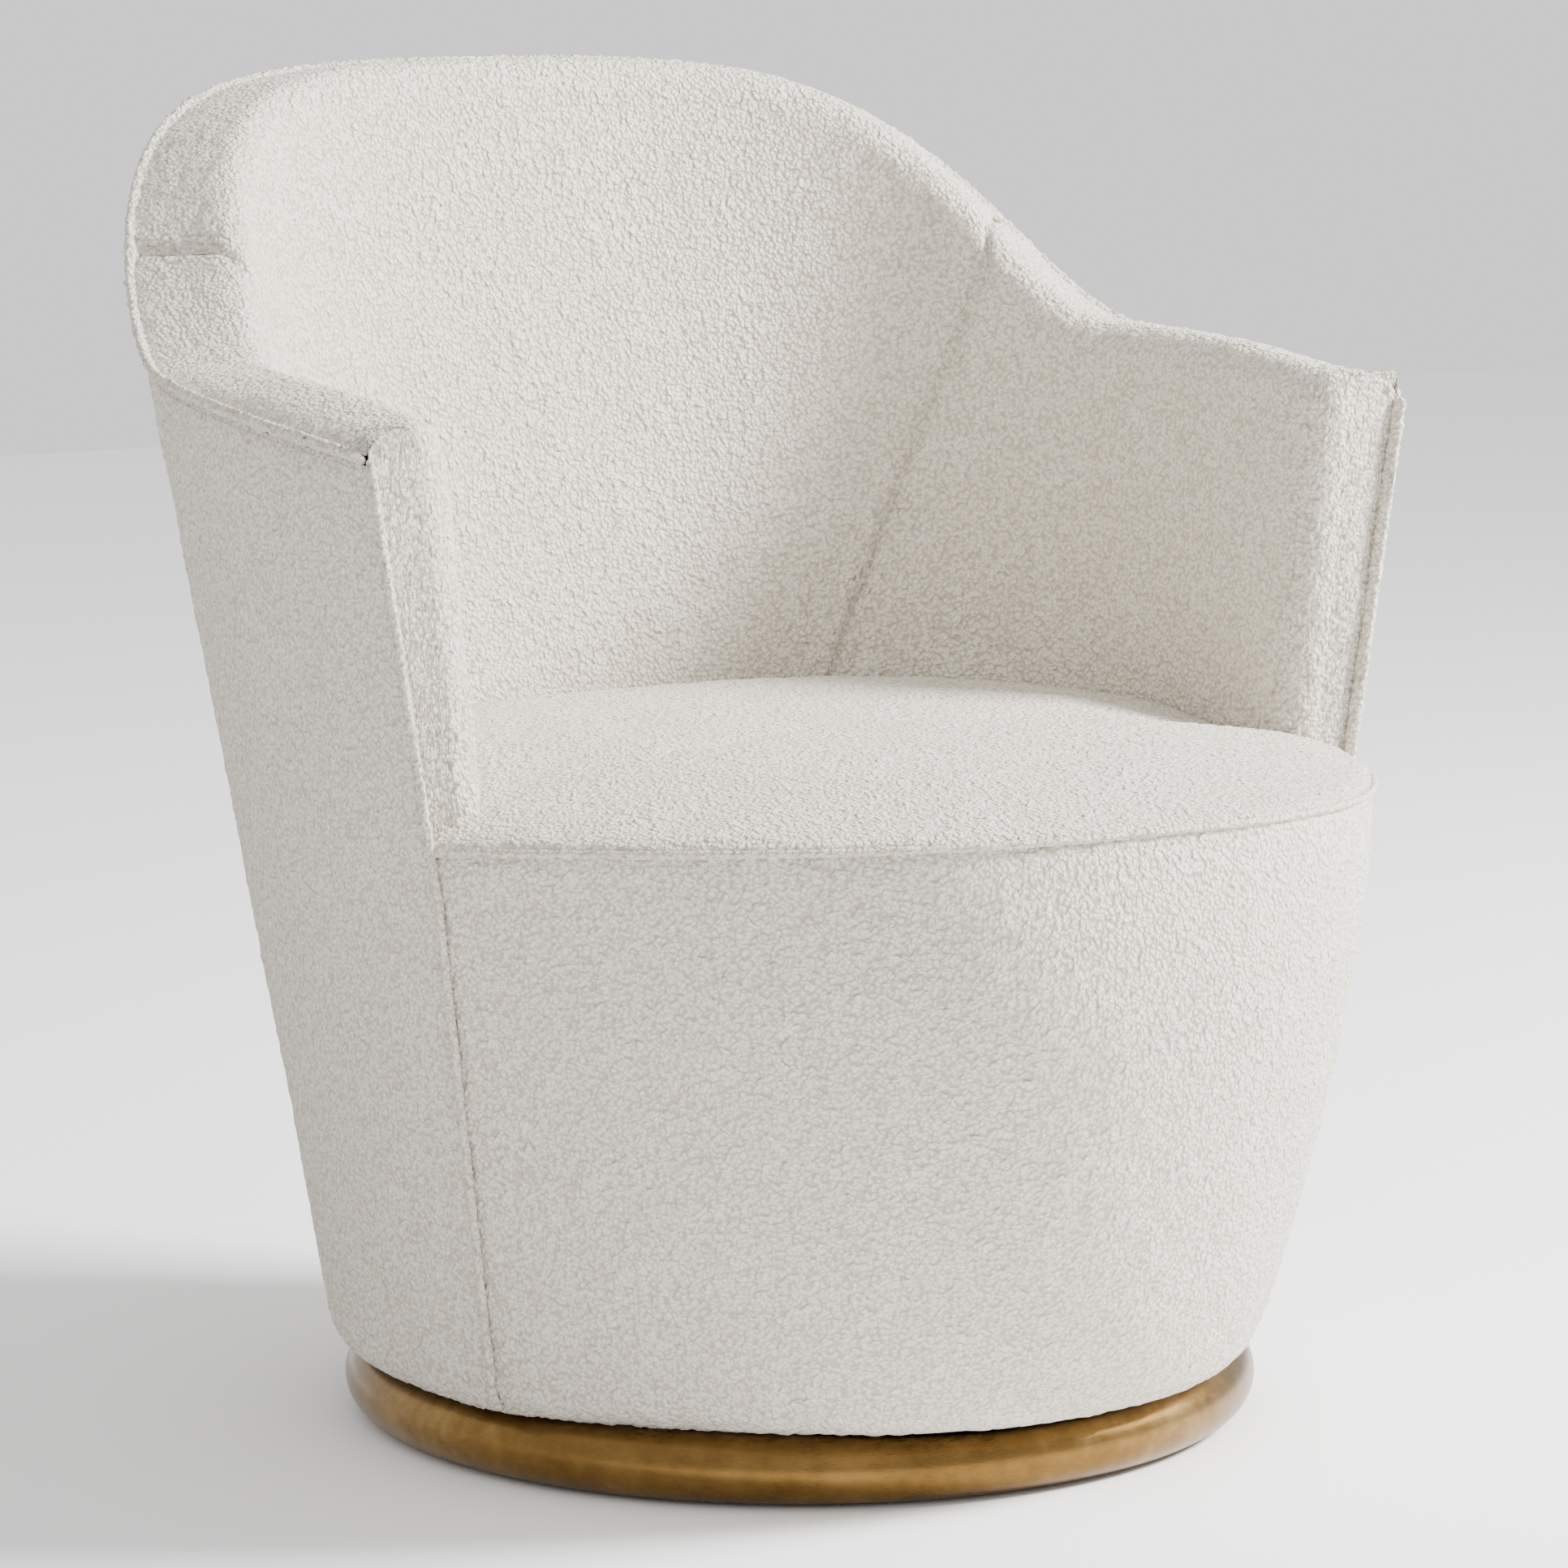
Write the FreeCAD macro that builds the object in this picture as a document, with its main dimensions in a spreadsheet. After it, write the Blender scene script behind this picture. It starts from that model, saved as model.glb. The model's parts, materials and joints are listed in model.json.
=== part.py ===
import FreeCAD, Part
import Sketcher
import math
import os

# Swivel tub chair. Millimetres, +Z up, the sitter faces -Y. The origin is on the floor, on the swivel axis.
# The upholstered body turns on a ball-bearing swivel plate above a round plinth with a bullnose metal band.

doc = FreeCAD.newDocument("swivel_tub_chair")

# ---------------------------------------------------------------- driving sizes
SIZES = [
    # plinth and swivel
    ("band_radius", 292.0), ("band_height", 44.0), ("band_floor_gap", 1.5), ("band_wall", 2.0),
    ("band_lip", 14.0), ("board_thickness", 18.0), ("core_width", 65.0),
    ("glide_radius", 15.0), ("glide_count", 6), ("pin_head_step", 6.0), ("pin_head_height", 2.5),
    ("plate_side", 180.0), ("plate_thickness", 3.0), ("race_radius", 55.0), ("ball_radius", 4.0),
    ("ball_count", 24), ("race_depth", 1.4), ("pin_radius", 8.0), ("running_gap", 0.3),
    ("plate_hole_spacing", 150.0), ("screw_radius", 2.5), ("bolt_radius", 3.5),
    ("screw_length", 15.0), ("bolt_length", 20.0), ("head_height", 2.0), ("fastener_gap", 0.2),
    # upholstered body, outside
    ("hem_height", 46.0), ("hem_radius", 298.0), ("rim_height", 849.0), ("arm_height", 639.0),
    ("arm_rise", 0.10), ("rise_start", 149.0), ("rise_end", 436.0),
    ("side_lean", 0.148), ("back_lean", 0.138), ("squareness", 2.57),
    ("arm_front", 122.0), ("seam_front_at_hem", 93.0), ("belly_height", 325.0), ("belly_reach", 411.5),
    ("seat_seam_height", 421.0), ("seat_seam_reach", 398.0), ("seat_seam_dip", 20.0),
    # sitting space
    ("seat_crown", 445.0), ("inner_half_width", 295.0), ("inner_back", 258.0),
    ("inner_centre", 40.0), ("inner_side_lean", 0.11), ("inner_back_lean", 0.235), ("inner_squareness",
            2.65),
    ("top_roll", 8.0), ("back_seam_run", 0.313), ("back_seam_slope", 0.000567),
    # layers, from the outside inwards
    ("cover", 3.0), ("padding", 5.0), ("frame_depth", 25.0), ("layer_gap", 0.3), ("loose_gap", 1.0),
            ("strap", 2.0),
    ("rail_depth", 24.0), ("rail_height", 60.0), ("rail_top", 385.0), 
    ("top_rail_height", 25.0), ("top_rail_drop", 32.0),
    ("welt_height", 10.0), ("welt_stand", 3.0),
    # springing
    ("spring_count", 5), ("spring_pitch", 92.0), ("spring_wire", 1.9), ("spring_loop", 22.0),
    ("spring_half_width", 24.0), ("deck_thickness", 3.0),
]
sheet = doc.addObject("Spreadsheet::Sheet", "sizes")
for row, (alias, value) in enumerate(SIZES, start=1):
    sheet.set("A%d" % row, alias)
    sheet.set("B%d" % row, str(value))
    sheet.setAlias("B%d" % row, alias)
doc.recompute()


def size(alias):
    """The number in a named cell."""
    return float(sheet.get(alias))


V = FreeCAD.Vector
UP = V(0, 0, 1)
exported = []


# ---------------------------------------------------------------- document helpers
def bind(thing, **expressions):
    """Bind properties of a document object to sheet cells; a dot in a name is written as two underscores."""
    for prop, text in expressions.items():
        thing.setExpression(prop.replace("__", "."), text)
    return thing


def feature(name, shape):
    """A helper solid whose shape is worked out by the functions below."""
    thing = doc.addObject("Part::Feature", name)
    thing.Shape = shape
    return thing


def cut(name, base, tool):
    thing = doc.addObject("Part::Cut", name)
    thing.Base, thing.Tool = base, tool
    return thing


def fuse(name, *shapes):
    thing = doc.addObject("Part::MultiFuse", name)
    thing.Shapes = list(shapes)
    return thing


def cylinder(name, radius, height, bottom, x="0", y="0"):
    thing = doc.addObject("Part::Cylinder", name)
    return bind(thing, Radius=radius, Height=height, Placement__Base__x=x, Placement__Base__y=y,
                Placement__Base__z=bottom)


def box(name, x0, x1, y0, y1, z0, z1):
    """A box between two corners, each an expression in sheet cells."""
    thing = doc.addObject("Part::Box", name)
    return bind(thing, Length="(%s) - (%s)" % (x1, x0), Width="(%s) - (%s)" % (y1, y0),
                Height="(%s) - (%s)" % (z1, z0), Placement__Base__x=x0, Placement__Base__y=y0,
                Placement__Base__z=z0)


def part(thing, label):
    """Mark a document object as a piece of the chair, to be written under its label."""
    thing.Label = label
    exported.append(thing)
    return thing


def ring_of(name, count, radius, make, start=0.0):
    """Repeat make(name, x, y) evenly round the swivel axis; returns the list of objects."""
    things = []
    for i in range(count):
        angle = start + 360.0 * i / count
        x = "(%s) * cos(%.6f deg)" % (radius, angle)
        y = "(%s) * sin(%.6f deg)" % (radius, angle)
        things.append(make("%s_%d" % (name, i), x, y))
    return things


S = "sizes."
GAP = size("layer_gap")
GAP_TEXT = S + "layer_gap"

# ---------------------------------------------------------------- levels shared by the pieces (mm)
bind_levels = [
    ("band_top", "=band_floor_gap + band_height"),
    ("board_top", "=band_floor_gap + band_height - band_wall"),
    ("board_bottom", "=board_top - board_thickness"),
    ("lower_plate_top", "=board_top + plate_thickness"),
    ("ball_centre", "=lower_plate_top + ball_radius - race_depth"),
    ("upper_plate_bottom", "=ball_centre + ball_radius - race_depth + running_gap"),
    ("upper_plate_top", "=upper_plate_bottom + plate_thickness"),
    ("deck_board_top", "=upper_plate_top + board_thickness"),
    ("frame_outside", "=cover + padding"),
    ("frame_inside", "=frame_outside + frame_depth"),
]
for row, (alias, text) in enumerate(bind_levels, start=len(SIZES) + 2):
    sheet.set("A%d" % row, alias)
    sheet.set("B%d" % row, text)
    sheet.setAlias("B%d" % row, alias)
doc.recompute()


# ---------------------------------------------------------------- outline of the upholstered body
def spline(points):
    curve = Part.BSplineCurve()
    curve.interpolate(points)
    return curve.toShape()


def rim_level(y):
    """Height of the outer top edge at depth y: level arms that sweep up to the back."""
    arm = size("arm_height") + size("arm_rise") * (y + size("arm_front"))
    t = (y - size("rise_start")) / (size("rise_end") - size("rise_start"))
    t = min(max(t, 0.0), 1.0)
    return arm + (size("rim_height") - arm) * t * t * (3 - 2 * t)


def rise(z):
    """Height above the hem."""
    return z - size("hem_height")


def arm_share(z):
    """0 at the hem, 1 from the arms' top upwards."""
    return min(max(rise(z) / (size("arm_height") - size("hem_height")), 0.0), 1.0)


def seam_depth(z):
    """How far the front seam stands in front of the swivel axis at height z."""
    t = min(rise(z) / (size("seat_seam_height") - size("seam_front_at_hem")), 1.0)
    return size("seam_front_at_hem") + (size("arm_front") - size("seam_front_at_hem")) * t


def front_reach(z):
    """Reach of the front panel: tucked under at the hem, fullest at the belly, back a little at the seat."""
    hem, belly = size("hem_radius"), size("belly_reach")
    if z <= size("belly_height"):
        u = (size("belly_height") - z) / (size("belly_height") - size("hem_height"))
        u = min(u, 1.0)
        return hem + (belly - hem) * (1 - u ** 1.3) ** 0.6
    u = (z - size("belly_height")) / (size("seat_seam_height") - size("belly_height"))
    return belly - (belly - size("seat_seam_reach")) * min(u, 1.4) ** 2


SIDE_SHARE = 0.8  # of each half of the wall's run; the rest is the straight arm ahead of the swivel axis


def quarter(share, half, back, centre, power):
    """A point on the rounded back: share 0 is the middle of the back, 1 the widest point of the side."""
    angle = math.radians(90.0 * (1 - share))
    c, s = math.cos(angle), math.sin(angle)
    r = ((c / half) ** power + (s / (back - centre)) ** power) ** (-1 / power)
    return r * c, centre + r * s


def wall_point(z, run, inset):
    """A point on the back and sides at height z; run goes from -1 (left seam) to 1 (right seam)."""
    half = size("hem_radius") + size("side_lean") * rise(z) - inset
    back = size("hem_radius") + size("back_lean") * rise(z) - inset
    power = 2 + (size("squareness") - 2) * arm_share(z)
    centre = -20.0 * arm_share(z)
    share = abs(run) / SIDE_SHARE
    if share <= 1:
        x, y = quarter(share, half, back, centre, power)
    else:
        t = (abs(run) - SIDE_SHARE) / (1 - SIDE_SHARE)
        x, y = half - (14.0 - 10.0 * arm_share(z)) * t * t, centre - (seam_depth(z) + centre) * t
    return V(math.copysign(x, run), y, z)


def front_point(z, run, inset):
    """A point on the front panel at height z; run goes from -1 (left seam) to 1 (right seam)."""
    seam = wall_point(z, 1.0, inset)
    reach = front_reach(z) - inset
    t = math.sin(math.radians(90 * run))
    return V(seam.x * t, -reach + (reach + seam.y) * abs(t) ** (2.2 + 0.2 * arm_share(z)), z)


def space_point(z, run, grow):
    """A point on the wall of the sitting space, in step with wall_point."""
    up = z - 430.0
    half = size("inner_half_width") + size("inner_side_lean") * up + grow
    back = size("inner_back") + size("inner_back_lean") * up + grow
    centre = -size("inner_centre")
    share = abs(run) / SIDE_SHARE
    if share <= 1:
        x, y = quarter(share, half, back, centre, size("inner_squareness"))
    else:
        t = (abs(run) - SIDE_SHARE) / (1 - SIDE_SHARE)
        x, y = half, centre - (size("arm_front") + centre) * t
    return V(math.copysign(x, run), y, z)


def rim_at(run):
    """Height of the outer top edge over the wall at this place along its run."""
    z = size("arm_height")
    for _ in range(30):
        z = rim_level(wall_point(z, run, 0.0).y)
    return z


def seam_at(x):
    """Height of the seat's front seam, which dips towards the arms."""
    return size("seat_seam_height") - size("seat_seam_dip") * (x / (0.87 * 400.0)) ** 2


def back_seam_run(z):
    """Where the slanting seam between inside back and inside arm stands along the wall's run."""
    return size("back_seam_run") + size("back_seam_slope") * (z - 430.0)


def row(point, level, start, end, inset):
    """One smooth edge of a panel: point(z, run, inset) from start to end, at the level given for each run."""
    if callable(start):
        start, end = start(level(0.0)), end(level(0.0))
    count = max(5, int(abs(end - start) * 36) + 2)
    points = []
    for i in range(count):
        run = start + (end - start) * i / (count - 1)
        points.append(point(level(run), run, inset))
    return spline(points)


def panel(outside, inside):
    """A closed sheet between two faces, each given as rows of edges in step with one another."""
    def line(a, b, which):
        return Part.makeLine(a.Vertexes[which].Point, b.Vertexes[which].Point)

    faces = []
    for rows in (outside, inside):
        faces += [Part.makeRuledSurface(low, high) for low, high in zip(rows, rows[1:])]
    faces.append(Part.makeRuledSurface(outside[0], inside[0]))
    faces.append(Part.makeRuledSurface(outside[-1], inside[-1]))
    for which in (0, 1):
        ends = [line(a, b, which) for a, b in zip(outside, inside)]
        faces += [Part.makeRuledSurface(low, high) for low, high in zip(ends, ends[1:])]
    shell = Part.makeShell(faces)
    shell.sewShape()
    solid = Part.makeSolid(shell)
    if solid.Volume < 0:
        solid.reverse()
    return solid


def at(z):
    """A level that is the same all along the run."""
    return lambda run: z


def rim_less(drop):
    """A level that follows the outer top edge, drop below it."""
    return lambda run: rim_at(run) - drop


def between(low, high, share):
    """A level part of the way from one level to another."""
    return lambda run: low(run) + (high(run) - low(run)) * share


def wall_panel(point, low, high, start, end, outer, inner, steps):
    """A panel of even build-up between two insets, from one level to another."""
    levels = [between(low, high, i / float(steps)) for i in range(steps + 1)]
    outside = [row(point, level, start, end, outer) for level in levels]
    inside = [row(point, level, start, end, inner) for level in levels]
    return panel(outside, inside)


COVER, OUT, IN = size("cover"), size("frame_outside"), size("frame_inside")
LOOSE = size("loose_gap")
WELT, ROLL, STAND = size("welt_height"), size("top_roll"), size("welt_stand")
WIDE = ("-600", "600", "-600", "600")


# ---------------------------------------------------------------- plinth
def band_profile():
    """Bullnose channel: half-round outside, turned in at top and bottom."""
    half = size("band_height") / 2
    wall, lip = size("band_wall"), size("band_lip")
    r = size("band_radius") - half
    z = size("band_floor_gap") + half
    outer = Part.Arc(V(r, 0, z - half), V(r + half, 0, z), V(r, 0, z + half)).toShape()
    inner = Part.Arc(V(r, 0, z + half - wall), V(r + half - wall, 0, z), V(r, 0, z - half + wall)).toShape()
    top = Part.makePolygon([V(r, 0, z + half), V(r - lip, 0, z + half), V(r - lip, 0, z + half - wall),
                            V(r, 0, z + half - wall)])
    low = Part.makePolygon([V(r, 0, z - half + wall), V(r - lip, 0, z - half + wall), V(r - lip, 0,
            z - half),
                            V(r, 0, z - half)])
    return Part.Face(Part.Wire([outer] + top.Edges + [inner] + low.Edges))


def sketch_on(body, plane_role, name):
    """A sketch on one of the body's own origin planes."""
    sketch = body.newObject("Sketcher::SketchObject", name)
    plane = [f for f in body.Origin.OriginFeatures if f.Role == plane_role][0]
    sketch.AttachmentSupport = [(plane, "")]
    sketch.MapMode = "FlatFace"
    return sketch


band_face = feature("band_profile", band_profile())
band = doc.addObject("Part::Revolution", "band")
band.Source, band.Axis, band.Base, band.Angle, band.Solid = band_face, UP, V(0, 0, 0), 360, True
part(band, "base_ring")


def seed(text):
    """The present value of an expression, to place sketch geometry near its solution."""
    value = sheet.evalExpression(text)
    return float(getattr(value, "Value", value))


def round_body(label, radius, thickness, bottom, bore):
    """A turned or sawn disc with a centre hole, padded up from its underside."""
    body = doc.addObject("PartDesign::Body", label + "_body")
    sketch = sketch_on(body, "XY_Plane", label + "_outline")
    for number, text in enumerate((radius, bore)):
        sketch.addGeometry(Part.Circle(V(0, 0, 0), UP, seed(text)), False)
        sketch.addConstraint(Sketcher.Constraint("Coincident", number, 3, -1, 1))
        index = sketch.addConstraint(Sketcher.Constraint("Radius", number, seed(text)))
        sketch.setExpression("Constraints[%d]" % index, text)
    pad = body.newObject("PartDesign::Pad", label + "_pad")
    pad.Profile = sketch
    bind(pad, Length=thickness)
    bind(body, Placement__Base__z=bottom)
    body.Tip = pad
    return body


def square_body(label, side, thickness, bottom, bore):
    """A pressed square plate with a centre hole, padded up from its underside."""
    body = doc.addObject("PartDesign::Body", label + "_body")
    sketch = sketch_on(body, "XY_Plane", label + "_outline")
    half = seed(side) / 2
    corners = [V(-half, -half, 0), V(half, -half, 0), V(half, half, 0), V(-half, half, 0)]
    for i in range(4):
        sketch.addGeometry(Part.LineSegment(corners[i], corners[(i + 1) % 4]), False)
    for i in range(4):
        sketch.addConstraint(Sketcher.Constraint("Coincident", i, 2, (i + 1) % 4, 1))
        sketch.addConstraint(Sketcher.Constraint("Vertical" if i % 2 else "Horizontal", i))
    sketch.addConstraint(Sketcher.Constraint("Symmetric", 0, 1, 2, 1, -1, 1))
    for edge in (0, 1):
        index = sketch.addConstraint(Sketcher.Constraint("Distance", edge, 2 * half))
        sketch.setExpression("Constraints[%d]" % index, side)
    sketch.addGeometry(Part.Circle(V(0, 0, 0), UP, seed(bore)), False)
    sketch.addConstraint(Sketcher.Constraint("Coincident", 4, 3, -1, 1))
    index = sketch.addConstraint(Sketcher.Constraint("Radius", 4, seed(bore)))
    sketch.setExpression("Constraints[%d]" % index, bore)
    pad = body.newObject("PartDesign::Pad", label + "_pad")
    pad.Profile = sketch
    bind(pad, Length=thickness)
    bind(body, Placement__Base__z=bottom)
    body.Tip = pad
    return body


def hole_circle(body, label, across, radius, count):
    """Drill a through hole at (across, across) in the body and repeat it round the axis."""
    sketch = sketch_on(body, "XY_Plane", label + "_hole")
    place = seed(across)
    sketch.addGeometry(Part.Circle(V(place, place, 0), UP, seed(radius)), False)
    for kind in ("DistanceX", "DistanceY"):
        index = sketch.addConstraint(Sketcher.Constraint(kind, -1, 1, 0, 3, place))
        sketch.setExpression("Constraints[%d]" % index, across)
    index = sketch.addConstraint(Sketcher.Constraint("Radius", 0, seed(radius)))
    sketch.setExpression("Constraints[%d]" % index, radius)
    pocket = body.newObject("PartDesign::Pocket", label + "_drill")
    pocket.Profile = sketch
    pocket.Type = 1
    pocket.Reversed = True
    doc.recompute()
    pattern = body.newObject("PartDesign::PolarPattern", label + "_pattern")
    pattern.Originals = [pocket]
    pattern.Axis = ([f for f in body.Origin.OriginFeatures if f.Role == "Z_Axis"][0], [""])
    pattern.Angle = 360
    pattern.Occurrences = count
    body.Tip = pattern
    return body


def race_groove(body, label, centre, radius):
    """Roll the ball race into the plate: a ring of circular section about the swivel axis."""
    sketch = sketch_on(body, "XZ_Plane", label + "_section")
    sketch.addGeometry(Part.Circle(V(seed(S + "race_radius"), seed(centre), 0), UP, seed(radius)), False)
    index = sketch.addConstraint(Sketcher.Constraint("DistanceX", -1, 1, 0, 3, seed(S + "race_radius")))
    sketch.setExpression("Constraints[%d]" % index, S + "race_radius")
    index = sketch.addConstraint(Sketcher.Constraint("DistanceY", -1, 1, 0, 3, seed(centre)))
    sketch.setExpression("Constraints[%d]" % index, centre)
    index = sketch.addConstraint(Sketcher.Constraint("Radius", 0, seed(radius)))
    sketch.setExpression("Constraints[%d]" % index, radius)
    groove = body.newObject("PartDesign::Groove", label + "_groove")
    groove.Profile = sketch
    groove.ReferenceAxis = (sketch, ["V_Axis"])
    groove.Angle = 360
    body.Tip = groove
    return body


board_edge = S + "band_radius - " + S + "band_height / 2 - " + S + "layer_gap"
hole_place = S + "plate_hole_spacing / 2"
base_board = round_body("base_board", board_edge, S + "board_thickness", S + "board_bottom",
                        S + "pin_radius + " + S + "pin_head_step + " + S + "pin_head_height")
hole_circle(base_board, "base_board", hole_place, S + "screw_radius + " + S + "fastener_gap", 4)
part(base_board, "base_board")
core_bottom = S + "band_floor_gap + " + S + "band_wall + " + GAP_TEXT
part(round_body("base_core_ring", board_edge, S + "board_bottom - (%s)" % core_bottom, core_bottom,
                board_edge + " - " + S + "core_width"), "base_core_ring")


def glide(name, x, y):
    return cylinder(name, S + "glide_radius", core_bottom, "0", x, y)


glide_circle = board_edge + " - " + S + "core_width + 1.8 * " + S + "glide_radius"
part(fuse("glides", *ring_of("glide", int(size("glide_count")), glide_circle, glide)), "floor_glides")

# ---------------------------------------------------------------- swivel
pin_bore = S + "pin_radius + " + S + "running_gap"
lower = square_body("swivel_lower_plate", S + "plate_side", S + "plate_thickness", S + "board_top",
                    pin_bore)
hole_circle(lower, "lower_plate", hole_place, S + "screw_radius + " + S + "fastener_gap", 4)
race_groove(lower, "lower_race", S + "ball_centre - " + S + "board_top", S + "ball_radius")
part(lower, "swivel_lower_plate")
upper = square_body("swivel_upper_plate", S + "plate_side", S + "plate_thickness", S + "upper_plate_bottom",
                    pin_bore)
hole_circle(upper, "upper_plate", hole_place, S + "bolt_radius + " + S + "fastener_gap", 4)
race_groove(upper, "upper_race", S + "ball_centre - " + S + "upper_plate_bottom",
            S + "ball_radius + " + S + "running_gap")
part(upper, "swivel_upper_plate")


def ball(name, x, y):
    thing = doc.addObject("Part::Sphere", name)
    return bind(thing, Radius=S + "ball_radius", Placement__Base__x=x, Placement__Base__y=y,
                Placement__Base__z=S + "ball_centre")


part(fuse("balls", *ring_of("ball", int(size("ball_count")), S + "race_radius", ball)), "bearing_balls")

pin_head = S + "pin_radius + " + S + "pin_head_step"
pin_head_height = S + "pin_head_height"
shaft = cylinder("pin_shaft", S + "pin_radius", S + "upper_plate_top - " + S + "board_top + " + GAP_TEXT,
                 S + "board_top")
foot = cylinder("pin_foot", pin_head, pin_head_height, S + "board_top - " + pin_head_height)
head = cylinder("pin_head", pin_head, pin_head_height, S + "upper_plate_top + " + GAP_TEXT)
part(fuse("pin", shaft, foot, head), "swivel_pin")


def fastener(name, shank, length, head, x, y, face, downwards):
    """A screw or bolt with its head on a face and its shank going down or up from it."""
    low = "(%s) - (%s)" % (face, length) if downwards else face
    stem = cylinder(name + "_shank", shank, length, low, x, y)
    head_low = face if downwards else "(%s) - (%s)" % (face, S + "head_height")
    cap = cylinder(name + "_head", head, S + "head_height", head_low, x, y)
    return fuse(name, stem, cap)


def at_plate_corners(name, make):
    """Repeat make(name, x, y) at the four holes of the swivel plates."""
    places = [(a, b) for a in ("", "-") for b in ("", "-")]
    return [make("%s_%d" % (name, i), a + "(%s)" % hole_place, b + "(%s)" % hole_place)
            for i, (a, b) in enumerate(places)]


def plate_screw(name, x, y):
    return fastener(name, S + "screw_radius", S + "screw_length", S + "screw_radius + 2", x, y,
                    S + "lower_plate_top", True)


def plate_bolt(name, x, y):
    return fastener(name, S + "bolt_radius", S + "bolt_length", S + "bolt_radius + 3", x, y,
                    S + "upper_plate_bottom", False)


def bolt_hole(name, x, y):
    return cylinder(name, S + "bolt_radius + " + S + "fastener_gap", "80", S + "board_top", x, y)


def bolt_nut(name, x, y):
    return cylinder(name, S + "bolt_radius + 5", "2", S + "deck_board_top", x, y)


part(fuse("lower_screws", *at_plate_corners("lower_screw", plate_screw)), "lower_plate_screws")
part(fuse("upper_bolts", *at_plate_corners("upper_bolt", plate_bolt)), "upper_plate_bolts")
bolt_holes = fuse("bolt_holes", *at_plate_corners("bolt_hole", bolt_hole))
nut_discs = fuse("nut_discs", *at_plate_corners("bolt_nut", bolt_nut))
part(cut("tee_nuts", nut_discs, bolt_holes), "bolt_washers")

# ---------------------------------------------------------------- seat frame
def floor_plan(z, inset):
    """Closed plan outline at height z."""
    return Part.Wire([row(wall_point, at(z), 1.0, -1.0, inset), row(front_point, at(z), -1.0, 1.0, inset)])


def plan_slab(name, low, high, inset):
    """A board that follows the outline of the body."""
    return feature(name, Part.makeLoft([floor_plan(z, inset) for z in (low, high)], True, True))


BOARD_LOW, BOARD_TOP = size("upper_plate_top"), size("deck_board_top")
FRAME_LOW = BOARD_TOP + GAP
pin_hole = cylinder("pin_hole", pin_head + " + 3", "80", S + "board_top")
seat_board_blank = plan_slab("seat_board_blank", BOARD_LOW, BOARD_TOP, OUT)
part(cut("seat_board_cut", seat_board_blank, fuse("seat_board_holes", bolt_holes, pin_hole)), "seat_board")

POST_HIGH = size("top_rail_drop") + size("top_rail_height") + GAP
SIDES = (("left", -1), ("right", 1))
for name, first, last in (("arm_front_post", 0.90, 0.97), ("arm_rear_post", 0.62, 0.69), ("back_post",
        0.24, 0.31)):
    for side, sign in SIDES:
        upright = wall_panel(wall_point, at(FRAME_LOW), rim_less(POST_HIGH), sign * first, sign * last,
                OUT, IN, 8)
        part(feature(name + "_" + side + "_sawn", upright), name + "_" + side)

RAIL_DROP = size("top_rail_drop")
RAIL_JOINT = 0.45


def top_rail(start, end):
    low = rim_less(RAIL_DROP + size("top_rail_height"))
    return wall_panel(wall_point, low, rim_less(RAIL_DROP), start, end, OUT, IN, 1)


part(feature("top_rail_back_sawn", top_rail(-RAIL_JOINT, RAIL_JOINT)), "top_rail_back")
for side, sign in SIDES:
    sawn = top_rail(sign * (RAIL_JOINT + 0.003), sign * 0.98)
    part(feature("arm_rail_" + side + "_sawn", sawn), "arm_rail_" + side)

RAIL_TOP, RAIL_LOW = size("rail_top"), size("rail_top") - size("rail_height")
RAIL_OUT, RAIL_IN = IN + LOOSE, IN + LOOSE + size("rail_depth")
SEAT_JOINT = 0.40


def seat_rail(point, start, end, low=RAIL_LOW, high=RAIL_TOP):
    return wall_panel(point, at(low), at(high), start, end, RAIL_OUT, RAIL_IN, 2)


part(feature("seat_rail_rear_sawn", seat_rail(wall_point, -SEAT_JOINT, SEAT_JOINT)), "seat_rail_rear")
part(feature("seat_rail_front_sawn", seat_rail(front_point, -0.9, 0.9)), "seat_rail_front")
for side, sign in SIDES:
    sawn = seat_rail(wall_point, sign * (SEAT_JOINT + 0.003), sign * 0.97)
    part(feature("seat_rail_" + side + "_sawn", sawn), "seat_rail_" + side)
    sawn = seat_rail(front_point, sign * 0.28, sign * 0.38, FRAME_LOW, RAIL_LOW - GAP)
    part(feature("front_strut_" + side + "_sawn", sawn), "front_strut_" + side)

# ---------------------------------------------------------------- springing


def sinuous_wire(x, start, end):
    """Zigzag spring wire from rail to rail: straight bars joined by half-round bends."""
    loop, half = size("spring_loop") / 2, size("spring_half_width") - size("spring_loop") / 2
    z = size("rail_top") + size("spring_wire") + GAP
    count = int((end - start) / (2 * loop))
    y = start
    edges = []
    side = 1
    for i in range(count):
        edges.append(Part.makeLine(V(x - side * half, y, z), V(x + side * half, y, z)))
        if i < count - 1:
            bend = Part.Arc(V(x + side * half, y, z), V(x + side * (half + loop), y + loop, z),
                            V(x + side * half, y + 2 * loop, z))
            edges.append(bend.toShape())
            y += 2 * loop
        side = -side
    path = Part.Wire(edges)
    first = edges[0].valueAt(edges[0].FirstParameter)
    section = Part.Wire([Part.makeCircle(size("spring_wire"), first, V(1, 0, 0))])
    return path.makePipeShell([section], True, False), y


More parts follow.
